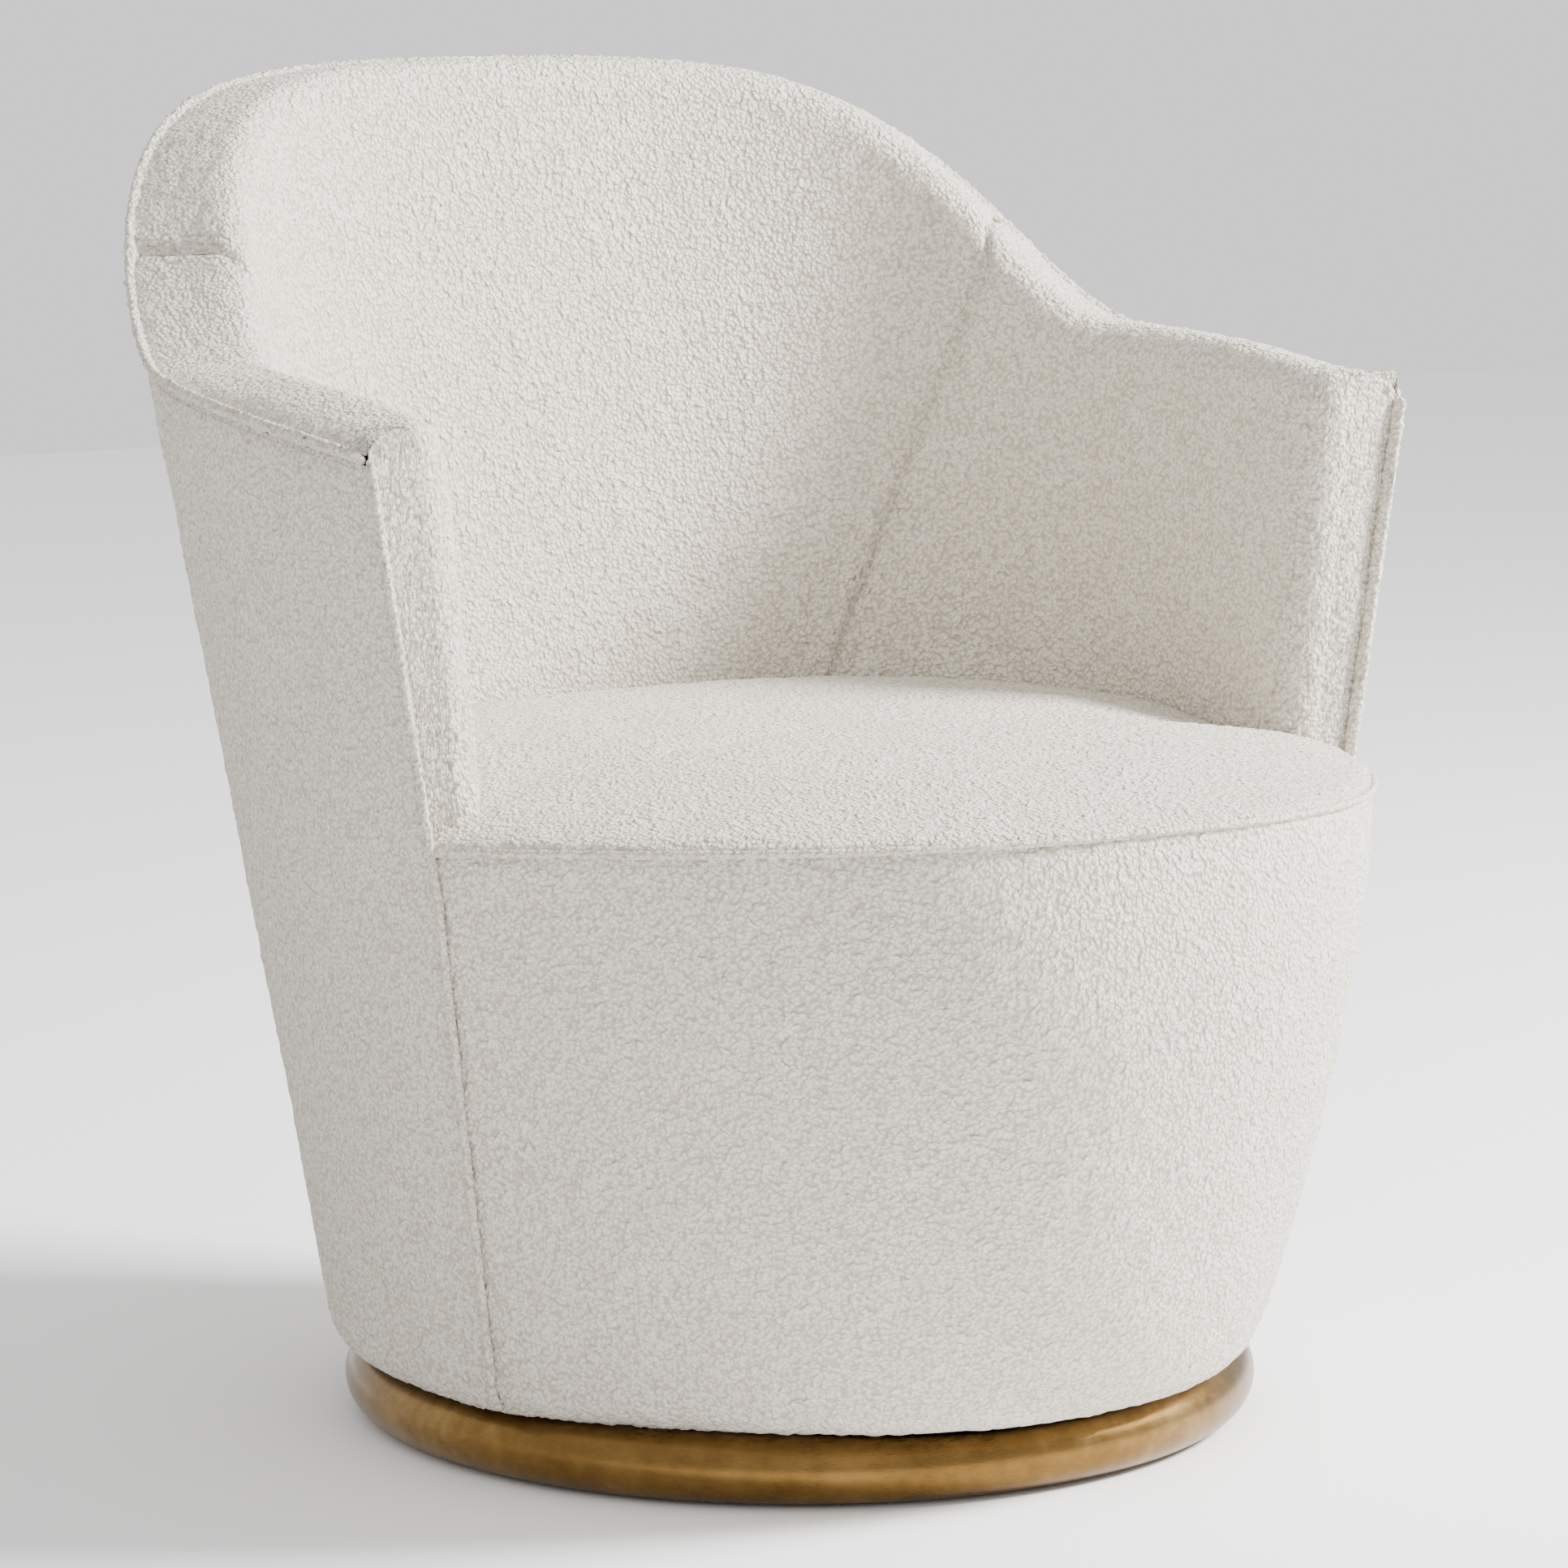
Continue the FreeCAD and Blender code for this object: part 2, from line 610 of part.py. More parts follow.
springs, clips = [], []
count = int(size("spring_count"))
for i in range(count):
    x = (i - (count - 1) / 2.0) * size("spring_pitch")
    front = -math.sqrt(max((size("seat_seam_reach") - IN - 30) ** 2 - 1.25 * x * x, 0))
    rear = size("inner_back") - 0.0016 * x * x - 5
    wire, last = sinuous_wire(x, front, rear)
    springs.append(wire)
    for y in (front, last):
        plate = Part.makeBox(30, 10, 2, V(x - 15, y - 5,
                size("rail_top") + 2 * size("spring_wire") + 2 * GAP))
        clips.append(plate)
part(feature("springs", Part.makeCompound(springs)), "seat_springs")
part(feature("clips", Part.makeCompound(clips)), "spring_clips")
DECK_LOW = size("rail_top") + 2 * size("spring_wire") + 2 + 3 * GAP
DECK_TOP = DECK_LOW + size("deck_thickness")
PADS_LOW = DECK_TOP + GAP
SEAT_GAP = 2 * GAP


def seat_plan(z, inset, shrink=1.0):
    """Plan of the seat: inside the arms and back, then out to the full width ahead of the arms."""
    step = 0.86
    rear = [space_point(z, 1 - 2 * i / 24.0, -SEAT_GAP - inset) for i in range(25)]
    front = [front_point(z, -step + 2 * step * i / 24.0,
            inset + (LOOSE if inset else 0.0)) for i in range(25)]
    front_y = -size("arm_front") - SEAT_GAP - inset
    middle = V(0, -70, z)

    def drawn_in(p):
        return V(middle.x + (p.x - middle.x) * shrink, middle.y + (p.y - middle.y) * shrink, p.z)

    rear = [drawn_in(V(p.x, max(p.y, front_y), p.z)) for p in rear]
    front = [drawn_in(p) for p in front]
    return Part.Wire([spline(rear), Part.makeLine(rear[-1], front[0]), spline(front),
                      Part.makeLine(front[-1], rear[0])])


def seat_pad(inset, low, crown):
    """The domed seat, stacked from plans that draw in towards the crown."""
    seam = size("seat_seam_height") - size("seat_seam_dip")
    plans = [seat_plan(low, inset), seat_plan(seam, inset), seat_plan(seam + 0.6 * (crown - seam), inset,
            0.96),
             seat_plan(seam + 0.87 * (crown - seam), inset, 0.80), seat_plan(crown, inset, 0.45)]
    return Part.makeLoft(plans, True, True)


deck = Part.makeLoft([seat_plan(z, 12.0) for z in (DECK_LOW, DECK_TOP)], True, True)
part(feature("deck_sheet", deck), "seat_deck")

straps = []
for i in range(4):
    low = DECK_TOP + 40 + 80 * i
    straps.append(wall_panel(wall_point, at(low), at(low + 50), -0.42, 0.42, RAIL_OUT,
            RAIL_OUT + size("strap"), 1))
part(feature("strap_group", Part.makeCompound(straps)), "back_webbing")

# ---------------------------------------------------------------- foam
FOAM_OUT = RAIL_OUT + size("strap") + LOOSE
WALL_END = 0.985


def pad_rows(point, inset, low, high, start, end, steps):
    return [row(point, between(low, high, i / float(steps)), start, end, inset) for i in range(steps + 1)]


def lining_foam(start, end):
    """Foam from the deck up to the top rail, between the frame and the lining cloth."""
    high = rim_less(RAIL_DROP - GAP)
    return panel(pad_rows(wall_point, FOAM_OUT, at(PADS_LOW), high, start, end, 3),
                 pad_rows(space_point, COVER + GAP, at(PADS_LOW), high, start, end, 3))


def roll_foam(start, end):
    """Foam laid over the top rail, which makes the rounded top of the arms and back."""
    low, high = rim_less(RAIL_DROP - LOOSE), rim_less(COVER + GAP - ROLL)
    return panel(pad_rows(wall_point, COVER + LOOSE, low, high, start, end, 1),
                 pad_rows(space_point, COVER + GAP, low, high, start, end, 1))


JOINT_LOW, JOINT_GAP = size("back_seam_run") + 0.06, 0.002
part(feature("back_foam_cut", lining_foam(-JOINT_LOW, JOINT_LOW)), "back_foam")
part(feature("back_roll_cut", roll_foam(-JOINT_LOW, JOINT_LOW)), "back_roll_foam")
for side, sign in SIDES:
    first, last = sign * (JOINT_LOW + JOINT_GAP), sign * WALL_END
    part(feature("arm_foam_%s_cut" % side, lining_foam(first, last)), "arm_foam_" + side)
    part(feature("arm_roll_%s_cut" % side, roll_foam(first, last)), "arm_roll_foam_" + side)

FRONT_LEVELS = [FRAME_LOW, 90.0, 120.0, 170.0, 230.0, 290.0, RAIL_LOW, 350.0, RAIL_TOP]
FRONT_FOAM_END = 0.91
front_rows = [[row(front_point, at(z), -FRONT_FOAM_END, FRONT_FOAM_END, inset) for z in FRONT_LEVELS]
              for inset in (COVER + GAP, IN)]
part(feature("front_foam_cut", panel(*front_rows)), "front_foam")
PADDING_END = 0.98
padding = wall_panel(wall_point, at(FRAME_LOW), rim_less(RAIL_DROP + LOOSE), -PADDING_END, PADDING_END,
                     COVER + LOOSE, OUT - GAP, 8)
part(feature("outside_padding_cut", padding), "outside_padding")
part(feature("seat_foam_cut", seat_pad(COVER + GAP, PADS_LOW, size("seat_crown") - COVER - GAP)),
        "seat_foam")

# ---------------------------------------------------------------- covers
HEM = size("hem_height")
OUTSIDE_END = 0.983
outside = wall_panel(wall_point, at(HEM), rim_less(WELT + GAP), -OUTSIDE_END, OUTSIDE_END, 0.0, COVER, 8)
part(feature("outside_cover_sewn", outside), "outside_cover")
rim = wall_panel(wall_point, rim_less(WELT), rim_less(0.0), -OUTSIDE_END, OUTSIDE_END, -STAND, COVER, 1)
part(feature("rim_welt_sewn", rim), "rim_welt")


def lining_cover(start, end):
    """Lining cloth: up the inside, over the roll and down to the welt, in one J-shaped sheet."""
    top, low = rim_less(-ROLL), at(PADS_LOW)
    outside_rows = pad_rows(space_point, 0.0, low, top, start, end, 3)
    outside_rows += [row(wall_point, top, start, end, 0.0), row(wall_point, rim_less(-GAP), start, end,
            0.0)]
    under = rim_less(COVER - ROLL)
    inside_rows = pad_rows(space_point, COVER, low, under, start, end, 3)
    inside_rows += [row(wall_point, under, start, end, COVER), row(wall_point, rim_less(-GAP), start, end,
            COVER)]
    return panel(outside_rows, inside_rows)


part(feature("inside_back_sewn", lining_cover(-JOINT_LOW, JOINT_LOW)), "inside_back_cover")


def arm_front(side, sign):
    """The flat front of an arm, from the seat to the roll."""
    def face(depth):
        rows = []
        for i in range(4):
            z = PADS_LOW + (rim_at(1.0) + ROLL - PADS_LOW) * i / 3.0
            outer, inner = wall_point(z, 1.0, 0.0), space_point(z, 1.0, 0.0)
            rows.append(Part.makeLine(V(sign * outer.x, outer.y + depth, z), V(sign * inner.x,
                    outer.y + depth, z)))
        return rows

    part(feature("arm_front_%s_sewn" % side, panel(face(0.0), face(1.4))), "arm_front_cover_" + side)


FRONT_END = 0.93
for side, sign in SIDES:
    lining = lining_cover(sign * (JOINT_LOW + JOINT_GAP), sign * WALL_END)
    part(feature("inside_arm_%s_sewn" % side, lining), "inside_arm_cover_" + side)
    arm_front(side, sign)
    levels = [at(HEM), at(100.0), at(200.0), at(300.0), at(seam_at(350.0)), at(rim_at(1.0))]
    strips = [[row(front_point, level, sign * 0.995, sign * (FRONT_END + 0.005), inset) for level in levels]
              for inset in (-STAND, COVER)]
    part(feature("front_welt_%s_sewn" % side, panel(*strips)), "front_welt_" + side)


def seam_level(rise_over):
    return lambda run: seam_at(front_point(400.0, run, 0.0).x) + rise_over


cover_levels = [at(HEM), at(50.0), at(BOARD_LOW),
        at(62.0)] + [at(z) for z in FRONT_LEVELS] + [seam_level(-GAP)]
cover_rows = [[row(front_point, level, -FRONT_END, FRONT_END, inset) for level in cover_levels]
              for inset in (0.0, COVER)]
part(feature("front_cover_sewn", panel(*cover_rows)), "front_cover")
lip = wall_panel(front_point, seam_level(0.0), seam_level(4.0), -FRONT_END, FRONT_END, -STAND, -GAP, 1)
part(feature("seat_front_lip_sewn", lip), "seat_front_lip")

cover_blank = feature("seat_cover_blank", seat_pad(0.0,
        size("seat_seam_height") + GAP - size("seat_seam_dip"),
                                                   size("seat_crown")))
cover_fill = feature("seat_cover_fill", seat_pad(COVER, PADS_LOW - 20, size("seat_crown") - COVER))
part(cut("seat_cover_sewn", cover_blank, cover_fill), "seat_cover")

dust_blank = plan_slab("dust_blank", BOARD_LOW - 1 - GAP, BOARD_LOW - GAP, OUT + 4)
part(cut("dust_cover_cut", dust_blank, cylinder("dust_hole", S + "plate_side * 0.74", "80",
        S + "board_top")),
     "dust_cover")

# ---------------------------------------------------------------- check and write
doc.recompute()
faults = [o.Name for o in doc.Objects if "Invalid" in o.State or "Error" in o.State]
for thing in exported:
    if thing.Shape.isNull() or not thing.Shape.isValid() or not thing.Shape.Solids:
        faults.append(thing.Label)
if faults:
    raise RuntimeError("not built: " + ", ".join(faults))
os.makedirs("parts", exist_ok=True)
for thing in exported:
    thing.Shape.exportStep("parts/%s.step" % thing.Label)
    box_text = thing.Shape.BoundBox
    print("%-24s solids %2d  volume %10.0f  x %6.1f %6.1f  y %6.1f %6.1f  z %6.1f %6.1f" % (
        thing.Label, len(thing.Shape.Solids), thing.Shape.Volume, box_text.XMin, box_text.XMax,
        box_text.YMin, box_text.YMax, box_text.ZMin, box_text.ZMax))
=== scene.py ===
import json
import math

import bmesh
import bpy
import numpy as np
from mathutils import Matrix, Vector


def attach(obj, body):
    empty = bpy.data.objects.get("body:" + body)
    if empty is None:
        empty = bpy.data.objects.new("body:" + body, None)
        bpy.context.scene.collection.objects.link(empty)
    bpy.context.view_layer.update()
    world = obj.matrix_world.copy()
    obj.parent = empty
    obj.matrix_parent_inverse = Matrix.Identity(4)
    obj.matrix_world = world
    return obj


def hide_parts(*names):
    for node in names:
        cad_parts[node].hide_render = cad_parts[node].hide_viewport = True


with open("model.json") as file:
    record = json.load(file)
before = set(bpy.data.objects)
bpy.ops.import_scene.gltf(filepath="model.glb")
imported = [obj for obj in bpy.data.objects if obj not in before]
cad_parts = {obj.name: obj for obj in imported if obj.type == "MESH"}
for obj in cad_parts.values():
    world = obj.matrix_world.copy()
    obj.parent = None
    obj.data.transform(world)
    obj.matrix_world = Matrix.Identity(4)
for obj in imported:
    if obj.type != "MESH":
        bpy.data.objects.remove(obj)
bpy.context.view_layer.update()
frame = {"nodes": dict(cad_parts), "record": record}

MM = 0.001

# The camera stands three quarters to the front, a little above the seat, with a long lens.
camera_data = bpy.data.cameras.new("camera")
camera_data.lens, camera_data.sensor_width = 146.4, 36.0
camera_data.clip_end = 30.0
camera = bpy.data.objects.new("camera", camera_data)
bpy.context.scene.collection.objects.link(camera)
camera_place = (-2.1912, -3.3570, 0.9952)
camera_aim = (-0.0085, 0.0055, 0.3999)
toward = [aim - place for aim, place in zip(camera_aim, camera_place)]
camera.location = camera_place
camera.rotation_mode = "QUATERNION"
camera.rotation_quaternion = Vector(toward).to_track_quat("-Z", "Y")
bpy.context.scene.camera = camera

# ---------------------------------------------------------------- chair body outline
# The body is a leaning tub: round at the hem, squarer and wider towards the rim, low at the arms and
# high at the back. Everything sewn to it follows these few curves.
hem_height, hem_radius = 46.0, 298.0
arm_height, arm_rise, rim_top = 639.0, 0.10, 849.0
rise_start, rise_end = 149.0, 436.0
arm_front = 122.0
side_lean, back_lean, squareness = 0.148, 0.138, 2.57
belly_height, belly_reach, seat_seam_reach = 325.0, 411.5, 398.0
seat_seam_height, seat_seam_dip = 421.0, 20.0
inner_half, inner_back, inner_centre, inner_squareness = 295.0, 258.0, -40.0, 2.65
inner_side_lean, inner_back_lean = 0.11, 0.235
back_seam_run, back_seam_slope = 0.313, 0.000567
side_share = 0.8


def arm_share(z):
    """0 at the hem, 1 from the arms' top upwards."""
    return np.clip((z - hem_height) / (arm_height - hem_height), 0, 1)


def seam_depth(z):
    """How far the front seam stands ahead of the swivel axis."""
    return 93.0 + 29.0 * np.clip((z - hem_height) / 328.0, 0, 1)


def superquarter(share, half, back, centre, power):
    """A point on the rounded back: share 0 is the middle of the back, 1 the widest point of the side."""
    angle = np.radians(90 * (1 - np.clip(share, 0, 1)))
    c, s = np.cos(angle), np.sin(angle)
    r = (np.abs(c / half) ** power + np.abs(s / (back - centre)) ** power) ** (-1 / power)
    return r * c, centre + r * s


def wall(z, run, out=0.0):
    """Outer face of the back and sides; run goes from -1 at the left seam to 1 at the right seam."""
    rise = z - hem_height
    half, back = hem_radius + side_lean * rise + out, hem_radius + back_lean * rise + out
    centre = -20 * arm_share(z)
    x, y = superquarter(np.abs(run) / side_share, half, back, centre, 2 + (squareness - 2) * arm_share(z))
    t = np.clip((np.abs(run) - side_share) / (1 - side_share), 0, None)
    straight_x = half - (14 - 10 * arm_share(z)) * t * t
    straight_y = centre - (seam_depth(z) + centre) * t
    x, y = np.where(t > 0, straight_x, x), np.where(t > 0, straight_y, y)
    return np.stack([np.sign(run) * x, y, z + 0 * x], axis=-1)


def belly(z):
    """Reach of the front panel: tucked in at the hem, fullest at the belly, less again at the seat."""
    low = np.clip((belly_height - z) / (belly_height - hem_height), 0, 1)
    high = np.clip((z - belly_height) / (seat_seam_height - belly_height), 0, 1.4)
    below = hem_radius + (belly_reach - hem_radius) * (1 - low ** 1.3) ** 0.6
    return np.where(z < belly_height, below, belly_reach - (belly_reach - seat_seam_reach) * high ** 2)


def front(z, run, out=0.0):
    """Outer face of the front panel; run goes from -1 at the left seam to 1 at the right seam."""
    seam = wall(z, np.ones_like(run), out)
    reach = belly(z) + out
    t = np.sin(np.radians(90 * run))
    y = -reach + (reach + seam[..., 1]) * np.abs(t) ** (2.2 + 0.2 * arm_share(z))
    return np.stack([seam[..., 0] * t, y, z + 0 * y], axis=-1)


def inner(z, run, grow=0.0):
    """Face of the sitting space, in step with wall()."""
    up = z - 430
    half, back = inner_half + inner_side_lean * up + grow, inner_back + inner_back_lean * up + grow
    x, y = superquarter(np.abs(run) / side_share, half, back, inner_centre, inner_squareness)
    t = np.clip((np.abs(run) - side_share) / (1 - side_share), 0, None)
    x, y = np.where(t > 0, half, x), np.where(t > 0, inner_centre - (arm_front + inner_centre) * t, y)
    return np.stack([np.sign(run) * x, y, z + 0 * x], axis=-1)


def rim(run):
    """Height of the outer top edge over the wall at this place along its run."""
    z = np.full_like(run, arm_height)
    for _ in range(30):
        y = wall(z, run)[..., 1]
        arm = arm_height + arm_rise * (y + arm_front)
        t = np.clip((y - rise_start) / (rise_end - rise_start), 0, 1)
        z = arm + (rim_top - arm) * t * t * (3 - 2 * t)
    return z


def seat_seam(x):
    """Height of the seat's front seam, which dips towards the arms."""
    return seat_seam_height - seat_seam_dip * (x / 348.0) ** 2


def smooth_noise(points, size, seed):
    """Soft lumps from layered sines in fixed random directions; size is the lump's width in millimetres."""
    draw = np.random.default_rng(seed)
    total = np.zeros(points.shape[:-1])
    for _ in range(10):
        direction = draw.normal(size=3)
        direction /= np.linalg.norm(direction)
        total += np.sin(points @ direction * (2 * math.pi / (size * draw.uniform(0.7,
                1.5))) + draw.uniform(0, 7))
    return total / 3.2


def grid_piece(name, grids):
    """One smooth mesh from grids of points in millimetres, with the points that meet joined."""
    verts, faces, start = [], [], 0
    for grid in grids:
        rows, columns = grid.shape[:2]
        index = start + np.arange(rows * columns).reshape(rows, columns)
        a, b, c, d = index[:-1, :-1], index[:-1, 1:], index[1:, 1:], index[1:, :-1]
        faces.append(np.stack([a, b, c, d], axis=-1).reshape(-1, 4))
        verts.append(grid.reshape(-1, 3))
        start += rows * columns
    verts, faces = np.concatenate(verts) * MM, np.concatenate(faces)
    mesh = bpy.data.meshes.new(name)
    mesh.from_pydata(verts.tolist(), [], faces.tolist())
    mesh.validate()
    piece = bpy.data.objects.new(name, mesh)
    bpy.context.scene.collection.objects.link(piece)
    shell = bmesh.new()
    shell.from_mesh(mesh)
    bmesh.ops.remove_doubles(shell, verts=shell.verts, dist=0.0002)
    bmesh.ops.dissolve_degenerate(shell, edges=shell.edges, dist=0.00005)
    shell.to_mesh(mesh)
    shell.free()
    mesh.polygons.foreach_set("use_smooth", [True] * len(mesh.polygons))
    return piece


def normals_of(grid):
    """Unit normals of a grid of points, from the run of its rows and columns."""
    along, up = np.gradient(grid, axis=1), np.gradient(grid, axis=0)
    n = np.cross(along, up)
    return n / np.maximum(np.linalg.norm(n, axis=-1, keepdims=True), 1e-9)


def nubby(grid, outward, amount=0.6):
    """Raise and sink the cloth's face by its thick and thin loops."""
    n = normals_of(grid)
    if np.sum(n * outward) < 0:
        n = -n
    draw = np.random.default_rng(11)
    nubs = draw.normal(size=grid.shape[:2]) * 0.6
    loops = nubs + smooth_noise(grid, 14, 3) * 0.35 + smooth_noise(grid, 70, 4) * 0.6
    return grid + n * (amount * loops)[..., None], n


# ---------------------------------------------------------------- boucle cloth
# Cream boucle: a loose weave of looped yarn, with thicker slubs here and there. The loop and slub tops stay
# light, and the gaps between them are darkened to a warm grey as painted shade, following the cloth's
# height.
class Socket:
    """A node socket that can be used in Python sums."""

    def __init__(self, tree, link):
        self.tree, self.link = tree, link

    def _maths(self, operation, *values):
        return node(self.tree, "ShaderNodeMath", {"operation": operation}, values)

    def __add__(self, other): return self._maths("ADD", self, other)
    def __radd__(self, other): return self._maths("ADD", other, self)
    def __sub__(self, other): return self._maths("SUBTRACT", self, other)
    def __rsub__(self, other): return self._maths("SUBTRACT", other, self)
    def __mul__(self, other): return self._maths("MULTIPLY", self, other)
    def __rmul__(self, other): return self._maths("MULTIPLY", other, self)


def node(tree, kind, settings, values, output=0):
    """Add a node: settings first, then the values or links of its sockets by place or name."""
    made = tree.nodes.new(kind)
    for name, value in settings.items():
        if name == "ramp":
            ramp = made.color_ramp
            while len(ramp.elements) < len(value):
                ramp.elements.new(0.5)
            for element, (place, colour) in zip(ramp.elements, value):
                element.position, element.color = place, colour
        else:
            setattr(made, name, value)
    pairs = values.items() if isinstance(values, dict) else enumerate(values)
    for key, value in pairs:
        target = made.inputs[key]
        if isinstance(value, Socket):
            tree.links.new(value.link, target)
        else:
            target.default_value = value
    return Socket(tree, made.outputs[output])


def new_material(name):
    material = bpy.data.materials.new(name)
    material.use_nodes = True
    tree = material.node_tree
    shader = tree.nodes["Principled BSDF"]
    return material, tree, shader


def mix_colour(tree, share, low, high):
    made = tree.nodes.new("ShaderNodeMix")
    made.data_type = "RGBA"
    for key, value in ((0, share), (6, low), (7, high)):
        if isinstance(value, Socket):
            tree.links.new(value.link, made.inputs[key])
        else:
            made.inputs[key].default_value = value
    return Socket(tree, made.outputs[2])


boucle, tree, shader = new_material("cream boucle")
where = node(tree, "ShaderNodeTexCoord", {}, (), "Object")
wobble = node(tree, "ShaderNodeTexNoise", {}, {"Vector": where, "Scale": 160.0, "Detail": 2.0}, "Color")
bent = node(tree, "ShaderNodeVectorMath", {"operation": "MULTIPLY_ADD"}, (wobble, (0.0045, 0.0045,
        0.0045), where))
loops = node(tree, "ShaderNodeTexVoronoi", {"feature": "F1"}, {"Vector": bent, "Scale": 330.0}, "Distance")
slubs = node(tree, "ShaderNodeTexVoronoi", {"feature": "SMOOTH_F1"},
             {"Vector": bent, "Scale": 170.0, "Smoothness": 0.4}, "Distance")
fibre = node(tree, "ShaderNodeTexNoise", {}, {"Vector": where, "Scale": 1500.0, "Detail": 3.0}, "Fac")
patch = node(tree, "ShaderNodeTexNoise", {}, {"Vector": where, "Scale": 26.0, "Detail": 2.0}, "Fac")
slub_mask = node(tree, "ShaderNodeMapRange", {"interpolation_type": "SMOOTHSTEP"},
                 {"Value": patch * 0.5 + node(tree, "ShaderNodeTexNoise", {},
                                              {"Vector": where, "Scale": 130.0,
                                                      "Detail": 1.0}, "Fac") * 0.6,
                  "From Min": 0.56, "From Max": 0.68, "To Min": 0.0, "To Max": 1.0})
loop_height = 1.0 - loops * 1.25
slub_height = 1.0 - slubs * 1.1
height = loop_height * 0.62 + slub_height * slub_mask * 0.75 + fibre * 0.16
# Painted shade: the colour follows the loop and slub height, so the gaps between the loops are darkened to
# a warm grey.
shade = node(tree, "ShaderNodeValToRGB", {"ramp": [(0.16, (0.55, 0.50, 0.43, 1)), (0.38, (0.72, 0.68,
        0.61, 1)),
                                                   (0.62, (0.84, 0.815, 0.76, 1)), (1.0, (0.90, 0.885,
                                                           0.84, 1))]},
             (loop_height * 0.72 + slub_height * slub_mask * 0.22 + fibre * 0.18,))
tint = mix_colour(tree, patch, (0.99, 0.96, 0.905, 1), (1.0, 0.98, 0.94, 1))
colour = node(tree, "ShaderNodeVectorMath", {"operation": "MULTIPLY"}, (shade, tint))
tree.links.new(colour.link, shader.inputs["Base Color"])
bump = node(tree, "ShaderNodeBump", {}, {"Strength": 1.0, "Distance": 0.0030, "Height": height})
tree.links.new(bump.link, shader.inputs["Normal"])
shader.inputs["Roughness"].default_value = 0.95
shader.inputs["Specular IOR Level"].default_value = 0.18
shader.inputs["Sheen Weight"].default_value = 0.25
shader.inputs["Sheen Roughness"].default_value = 0.5
shader.inputs["Sheen Tint"].default_value = (0.95, 0.93, 0.88, 1)


def dress(piece, material, *nodes):
    """Give a chair piece its finish and let it stand for its CAD solids."""
    piece.data.materials.append(material)
    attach(piece, "chair")
    if nodes:
        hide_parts(*nodes)
    return piece


# ---------------------------------------------------------------- outside cover
# One wide panel of boucle pulled round the back and both sides, tucked under the seat board at the hem and
# closed by the welt at the rim and at both front seams.
across = np.linspace(-1, 1, 440)
up = np.linspace(0, 1, 150)
top = rim(across) - 7
run, share = np.meshgrid(across, up)
level = hem_height + (top - hem_height) * share
tuck = 12 * np.clip(1 - (level - hem_height) / 16, 0, 1) ** 2.2
seam_pull = 2.2 * np.exp(-((1 - np.abs(run)) / 0.010) ** 2) + 1.6 * np.exp(-((top - level) / 6) ** 2)
outside = wall(level, run, -tuck - seam_pull)
outside, _ = nubby(outside, wall(level, run, 10.0) - outside)
under = np.stack([wall(np.full_like(across, hem_height + dz), across, -inset)
                  for dz, inset in ((6, 34), (2.5, 26), (0, 17))] + [outside[0]])
dress(grid_piece("outside_panel", [np.concatenate([under[:-1], outside])]), boucle, "outside_cover")

# ---------------------------------------------------------------- front cover
# The curved front panel under the seat, fullest at knee height and tucked in above the plinth.
across = np.linspace(-0.985, 0.985, 250)
up = np.linspace(0, 1, 96)
run, share = np.meshgrid(across, up)
seam_x = front(np.full_like(across, 400.0), across)[..., 0]
top = seat_seam(seam_x)
level = hem_height + (top - hem_height) * share
tuck = 12 * np.clip(1 - (level - hem_height) / 16, 0, 1) ** 2.2
seam_pull = 2.0 * np.exp(-((0.985 - np.abs(run)) / 0.012) ** 2) + 1.5 * np.exp(-((top - level) / 5) ** 2)
panel = front(level, run, -tuck - seam_pull)
panel, _ = nubby(panel, front(level, run, 10.0) - panel)
under = np.stack([front(np.full_like(across, hem_height + dz), across, -inset)
                  for dz, inset in ((6, 34), (2.5, 26), (0, 17))])
dress(grid_piece("front_panel", [np.concatenate([under, panel])]), boucle, "front_cover")

# ---------------------------------------------------------------- inside back, arms and arm fronts
# The lining goes up the inside, over the padded roll and down to the welt. A slanting seam on each side
# parts the back from the arms, and the arms' fronts are closed by a flat panel with a rounded inner edge.
back_seam_place, lining_foot, edge_round = 0.42, 398.0, 26.0
corner_share, crest_share, fall_share = 0.3, 0.34, 0.66
roll_inner, roll_peak_back, roll_peak_arm = 30.0, 3.0, 16.0


def roll_peak(run):
    """How far the padded top stands above the welt."""
    back = np.clip((np.abs(run) - 0.45) / 0.35, 0, 1)
    return roll_peak_back + (roll_peak_arm - roll_peak_back) * back * back * (3 - 2 * back)


def inside_path(level, place):
    """Inner face in plan: place 0 to 1 runs from the back's middle to the arm front, 1 to 2 across it."""
    along = np.clip(place, 0, 1)
    seam = back_seam_run + back_seam_slope * (level - 430)
    run = np.where(along < back_seam_place, along / back_seam_place * seam,
                   seam + (along - back_seam_place) / (1 - back_seam_place) * (1 - seam))
    last = 1 - edge_round / (arm_front + inner_centre) * (1 - side_share)
    run = np.minimum(run, 1) * last
    body = inner(level, run)
    turn = np.clip((place - 1) / corner_share, 0, 1) * (math.pi / 2)
    half = inner_half + inner_side_lean * (level - 430)
    corner_x = half + edge_round - edge_round * np.cos(turn)
    corner_y = -arm_front + edge_round - edge_round * np.sin(turn)
    outer = wall(level, np.ones_like(level))
    flat = np.clip((place - 1.3) / 0.7, 0, 1)
    flat_x = half + edge_round + (outer[..., 0] - half - edge_round) * flat
    x = np.where(place <= 1, body[..., 0], np.where(place <= 1.3, corner_x, flat_x))
    y = np.where(place <= 1, body[..., 1], np.where(place <= 1.3, corner_y, -arm_front))
    return np.stack([x, y, level], axis=-1), run


